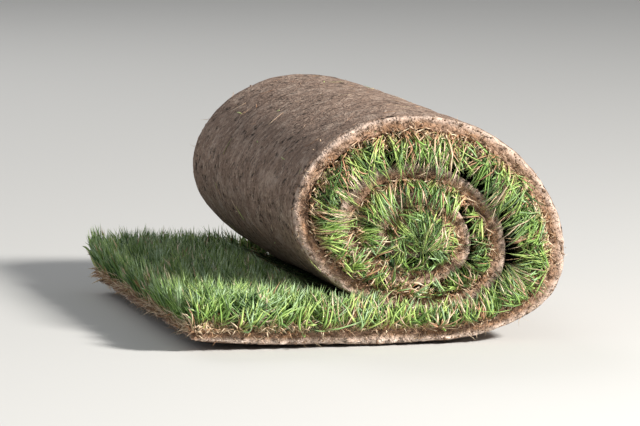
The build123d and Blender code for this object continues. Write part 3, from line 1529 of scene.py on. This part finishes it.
@dataclass
class LooseLawn:
    """The grass that stands free on one half of the loose end and leans out over its edges."""

    grower: Grower
    end: RollEnd
    count: int = 6400
    blades_each: int = 6
    far_samples: int = 400
    far_share: float = 0.5
    edge_share: float = 0.2
    tip_share: float = 0.5
    tip_row: Span = (0.002, 0.012)
    end_row: Span = (0.0, 0.008)
    margin: float = 0.002
    first_foot: float = 0.004
    edge_run: float = 0.03
    spread: Drawn = (0.0, 1.0, 0.4)
    past_tip: float = 1.5
    past_end: float = 1.2
    rooted: float = 0.85
    tip_depth: float = 0.62
    tip_taper: float = 0.045
    length: Drawn = (0.035, 0.050, 0.003)
    width: Span = (0.0021, 0.0040)
    lean: Drawn = (0.0, 0.3, 0.1)
    tip_lean: float = 0.12
    droop: Drawn = (0.1, 0.9, 0.2)
    tip_droop: float = 0.35
    twist: Span = (-1.5, 1.5)
    curl: float = 0.12
    dry: float = 0.05
    brightest: float = 0.78
    seed: int = 40

    def build(self) -> None:
        """Grow the lawn."""
        dice, winding = np.random.default_rng(self.seed + self.end.value), self.grower.path.winding
        tufts = Tufts(dice, self.count, self.blades_each)
        along, across = self.feet(tufts)
        tip = smooth(1 - along / self.edge_run)
        end = smooth((np.abs(across) - winding.half_width) / self.edge_run + 1) * np.sign(across)
        ahead = tufts.strewn(*self.spread) - self.past_tip * tip
        sideways = tufts.strewn(*self.spread) + self.past_end * end
        thinned = self.tip_depth + (1 - self.tip_depth) * smooth(along / self.tip_taper)
        stand = Stand(
            along=along,
            across=across,
            depth=winding.soil_thickness * self.rooted * thinned,
            length=tufts.even(*self.length),
            width=tufts.uniform(*self.width),
            aim=np.arctan2(sideways, ahead),
            first_tilt=np.abs(tufts.even(*self.lean)) + self.tip_lean * tip,
            last_tilt=np.abs(tufts.even(*self.droop)) + self.tip_droop * tip,
            twist=tufts.uniform(*self.twist),
            curl=dice.normal(0.0, self.curl, self.count),
            column=tufts.column(self.dry, self.brightest),
        )
        self.grower.grow(f"loose_end_lawn_{self.end.name.lower()}", stand, "grass", walled=True)

    def feet(self, tufts: Tufts) -> tuple[Numbers, Numbers]:
        """Where the blades stand: as far as the grass is free, and closer along the edges.

        Args:
            tufts: The tufts.

        Returns:
            Places along and across.
        """
        dice, count, path = tufts.dice, tufts.tufts, self.grower.path
        half = path.winding.half_width
        stretch = np.linspace(0.0, path.winding.first_bend, self.far_samples)
        is_free = path.room(stretch) > self.far_share * path.free_height
        far = float(stretch[is_free].max())
        along = dice.uniform(self.margin, far, count)
        across = self.end.value * dice.uniform(0.0, half, count)
        rim = dice.random(count) < self.edge_share
        at_tip = rim & (dice.random(count) < self.tip_share)
        at_end = rim & ~at_tip
        along = np.where(at_tip, dice.uniform(*self.tip_row, count), along)
        across = np.where(at_end, np.sign(across) * (half - dice.uniform(*self.end_row, count)), across)
        along = np.clip(tufts.shared(along, self.margin), self.first_foot, far)
        across = tufts.shared(across, self.margin)
        return along, np.clip(across, -half + self.margin, half - self.margin)


@dataclass
class RootHairs:
    """Fine roots at the cut edges, and dead leaves where the soil meets the grass.

    Where there are two ranges, the first is the roots' and the second the dead leaves'.
    """

    soil: SoilMat
    grower: Grower
    roots: int = 2200
    dead_leaves: int = 6500
    margin: float = 0.003
    tip_share: float = 0.09
    outer_share: float = 0.60
    outer_run: float = 1.0
    outer_power: float = 1.6
    outer_piled: Span = (0.85, 1.65)
    piled: Span = (0.8, 1.2)
    root_layer: Span = (0.1, 1.0)
    root_power: float = 0.7
    inward: float = 0.001
    tip_width: float = 0.97
    fan: float = 0.8
    length: tuple[Span, Span] = ((0.005, 0.014), (0.007, 0.020))
    width: tuple[Span, Span] = ((0.0005, 0.0011), (0.0014, 0.0032))
    lean: tuple[Span, Span] = ((0.8, 2.2), (0.6, 1.6))
    droop: tuple[Span, Span] = ((-0.2, 3.2), (0.0, 2.6))
    twist: Span = (-1.5, 1.5)
    curl: float = 0.35
    seed: int = 60

    def build(self) -> None:
        """Grow the roots and the dead leaves."""
        dice = np.random.default_rng(self.seed)
        count = self.roots + self.dead_leaves
        is_root = np.arange(count) < self.roots
        path, half = self.soil.path, self.soil.path.winding.half_width
        at_tip = dice.random(count) < self.tip_share
        side = either_side(dice, count)
        along = dice.uniform(self.margin, path.length - self.margin, count)
        outer = ~is_root & (dice.random(count) < self.outer_share)
        on_outer = self.margin + self.outer_run * dice.random(count) ** self.outer_power
        along = np.where(outer, on_outer, along)
        piled = self.either(dice, outer, (self.outer_piled, self.piled))
        layer = np.where(is_root, dice.uniform(*self.root_layer, count) ** self.root_power, piled)
        inset = self.soil.end_inset(along, side * half, layer) + self.inward
        fan = dice.normal(0.0, self.fan, count)
        along = np.where(at_tip, inset + self.margin, along)
        on_tip = dice.uniform(-half, half, count) * self.tip_width
        across = np.where(at_tip, on_tip, side * (half - inset))
        stand = Stand(
            along=along,
            across=across,
            depth=self.soil.edge_depth(along, across, layer),
            length=self.either(dice, is_root, self.length),
            width=self.either(dice, is_root, self.width),
            aim=np.where(at_tip, math.pi, side * OUTWARD) + fan,
            first_tilt=self.either(dice, is_root, self.lean),
            last_tilt=self.either(dice, is_root, self.droop),
            twist=dice.uniform(*self.twist, count),
            curl=dice.normal(0.0, self.curl, count),
            column=dice.integers(BladeMap.FIRST_DRY, BladeMap.COLUMNS, count),
        )
        self.grower.grow("roots_and_dead_leaves", stand, "soil", walled=False)

    @staticmethod
    def either(dice: Dice, is_first: Numbers, ranges: tuple[Span, Span]) -> Numbers:
        """Draw numbers from the first range where it is asked for, and else from the second."""
        return np.where(is_first, *(dice.uniform(*span, len(is_first)) for span in ranges))


@dataclass
class Crumbs:
    """Crumbs of earth stuck to the cut ends and, here and there, to the soil face."""

    soil: SoilMat
    finish: CrumbFinish = CrumbFinish()
    on_ends: int = 2800
    on_face: int = 700
    lumpy: Span = (0.65, 1.3)
    squashed: Span = (0.6, 1.2)
    first: float = 0.006
    last: float = 0.002
    layers: Span = (0.12, 1.0)
    end_size: Span = (0.0010, 0.0026)
    face_size: Span = (0.0009, 0.0021)
    bedded: float = 0.15
    proud: float = 0.35
    face_share: float = 0.98
    least_height: float = 0.003
    seed: int = 80

    def build(self) -> None:
        """Scatter the crumbs."""
        dice = np.random.default_rng(self.seed)
        shape = bmesh.new()
        bmesh.ops.create_icosphere(shape, subdivisions=1, radius=0.5)
        pattern, faces = patterned(shape)
        middle, size = self.pick_places(dice)
        count = len(size)
        lumpy = pattern[None] * dice.uniform(*self.lumpy, (count, len(pattern), 1))
        spin = np.linalg.qr(dice.normal(size=(count, 3, 3)))[0]
        spin *= np.sign(np.linalg.det(spin))[:, None, None]
        squashed = lumpy * dice.uniform(*self.squashed, (count, 1, 3))
        turned = np.einsum("nij,nkj->nki", spin, squashed)
        points = turned * size[:, None, None] + middle[:, None, :]
        piece = repeated("earth_crumbs", points, faces)
        store(piece.data, "tint", np.repeat(dice.random(count), len(pattern)))
        dress(piece, self.finish.build(), "soil")

    def pick_places(self, dice: Dice) -> tuple[Numbers, Numbers]:
        """Choose where the crumbs lie.

        Args:
            dice: The random numbers.

        Returns:
            Rows of their middles, and their sizes.
        """
        path, half, count = self.soil.path, self.soil.path.winding.half_width, self.on_ends
        side = either_side(dice, count)
        along = dice.uniform(self.first, path.length - self.last, count)
        layer = dice.uniform(*self.layers, count)
        size = self.sizes(dice, self.end_size, count)
        inset = self.soil.end_inset(along, side * half, layer) + size * self.bedded
        across = side * (half - inset)
        ends = path.place(along, across, self.soil.edge_depth(along, across, layer))
        along, across, dent = self.soil.on_face(dice, self.on_face, self.face_share)
        small = self.sizes(dice, self.face_size, self.on_face)
        face = path.place(along, across, dent + self.proud * small)
        middle = np.concatenate((ends, face))
        middle[:, 2] = np.maximum(middle[:, 2], self.least_height)
        return middle, np.concatenate((size, small))

    @staticmethod
    def sizes(dice: Dice, span: Span, count: int) -> Numbers:
        """Draw sizes from the smallest up by so much at most, mostly small."""
        return span[0] + span[1] * dice.random(count) ** 2


@dataclass
class StrayStraw:
    """Dry stalks and single blades stuck to the soil face."""

    soil: SoilMat
    grower: Grower
    count: int = 150
    face_share: float = 0.97
    sunk: float = 0.0003
    length: Span = (0.006, 0.024)
    width: Span = (0.0006, 0.0018)
    lean: Span = (1.5, 1.62)
    droop: Span = (1.5, 1.72)
    twist: Span = (-0.5, 0.5)
    curl: float = 0.2
    green_columns: int = 2
    seed: int = 90

    def build(self) -> None:
        """Scatter the stalks."""
        dice, count = np.random.default_rng(self.seed), self.count
        along, across, dent = self.soil.on_face(dice, count, self.face_share)
        stand = Stand(
            along=along,
            across=across,
            depth=dent - self.sunk,
            length=dice.uniform(*self.length, count),
            width=dice.uniform(*self.width, count),
            aim=dice.uniform(-math.pi, math.pi, count),
            first_tilt=dice.uniform(*self.lean, count),
            last_tilt=dice.uniform(*self.droop, count),
            twist=dice.uniform(*self.twist, count),
            curl=dice.normal(0.0, self.curl, count),
            column=dice.integers(BladeMap.FIRST_DRY - self.green_columns, BladeMap.COLUMNS, count),
        )
        self.grower.grow("stray_straw", stand, "grass", walled=False)


@dataclass(frozen=True)
class Lamp:
    """One soft square light, with its place, its side in metres, its watts and its colour."""

    name: str
    place: Place
    side: float
    power: float
    colour: Colour

    def hang(self, target: Vector) -> None:
        """Hang the light.

        Args:
            target: The place that it looks at.
        """
        lamp = bpy.data.lights.new(self.name, "AREA")
        lamp.size, lamp.energy, lamp.color = self.side, self.power, self.colour
        holder = placed(self.name, lamp)
        holder.location = self.place
        holder.rotation_euler = (target - Vector(self.place)).to_track_quat("-Z", "Y").to_euler()


@dataclass
class Studio:
    """Plain floor, soft lights and the camera at the photograph's viewing angle."""

    azimuth: float = -13.5
    elevation: float = 6.5
    distance: float = 5.0
    field_width: float = 0.62
    far_clip: float = 100.0
    floor_half: float = 30.0
    aim: Place = (0.0, 0.0, 0.100)
    sky: Colour = (0.93, 0.96, 1.0)
    sky_strength: float = 0.24
    lamps: tuple[Lamp, ...] = (
        Lamp("key", (2.5, -2.8, 2.5), 0.6, 385.0, (1.0, 0.975, 0.93)),
        Lamp("fill", (-3.4, -1.6, 1.8), 2.5, 12.0, (0.90, 0.95, 1.0)),
        Lamp("rim", (-0.8, 3.2, 2.6), 2.0, 40.0, (1.0, 1.0, 1.0)),
    )

    def build(self) -> None:
        """Put up the floor, the lights and the camera."""
        scene = bpy.context.scene
        scene.view_settings.view_transform = "Standard"
        self.lay_floor()
        for lamp in self.lamps:
            lamp.hang(Vector(self.aim))
        self.wash(scene)
        self.place_camera(scene)

    def lay_floor(self) -> None:
        """Lay the floor at the height that the roll stands on."""
        shape = bmesh.new()
        bmesh.ops.create_grid(shape, x_segments=2, y_segments=2, size=self.floor_half)
        floor = finished("floor", shape)
        floor.data.materials.append(FloorFinish().build())

    def wash(self, scene: bpy.types.Scene) -> None:
        """Light the scene evenly with a pale sky.

        Args:
            scene: The scene.
        """
        world = bpy.data.worlds.new("pale_sky")
        world.use_nodes = True
        sky = world.node_tree.nodes["Background"]
        sky.inputs["Color"].default_value = (*self.sky, 1.0)
        sky.inputs["Strength"].default_value = self.sky_strength
        scene.world = world

    def place_camera(self, scene: bpy.types.Scene) -> None:
        """Set up the camera, looking at the middle of the roll.

        Args:
            scene: The scene.
        """
        turn, lift = math.radians(self.azimuth), math.radians(self.elevation)
        back = math.cos(lift)
        away = Vector((math.sin(turn) * back, -math.cos(turn) * back, math.sin(lift)))
        lens = bpy.data.cameras.new("camera")
        lens.lens = lens.sensor_width * self.distance / self.field_width
        lens.clip_end = self.far_clip
        camera = placed("camera", lens)
        camera.location = Vector(self.aim) + away * self.distance
        camera.rotation_euler = (-away).to_track_quat("-Z", "Y").to_euler()
        scene.camera = camera


def main() -> None:
    """Build the roll piece by piece, then the studio."""
    logging.basicConfig(level=logging.INFO, format="%(name)s %(message)s")
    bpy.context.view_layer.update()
    path = Path(Winding())
    blades = BladeFinish().build()
    grower = Grower(path, Blade(), blades)
    soil = SoilMat(path)
    soil.build()
    PressedSward(path).build()
    for end in RollEnd:
        EndBlades(grower, end).build()
        LooseLawn(grower, end).build()
    RootHairs(soil, Grower(path, Blade(cuts=1), blades)).build()
    Crumbs(soil).build()
    StrayStraw(soil, grower).build()
    Studio().build()


if __name__ == "__main__":
    main()
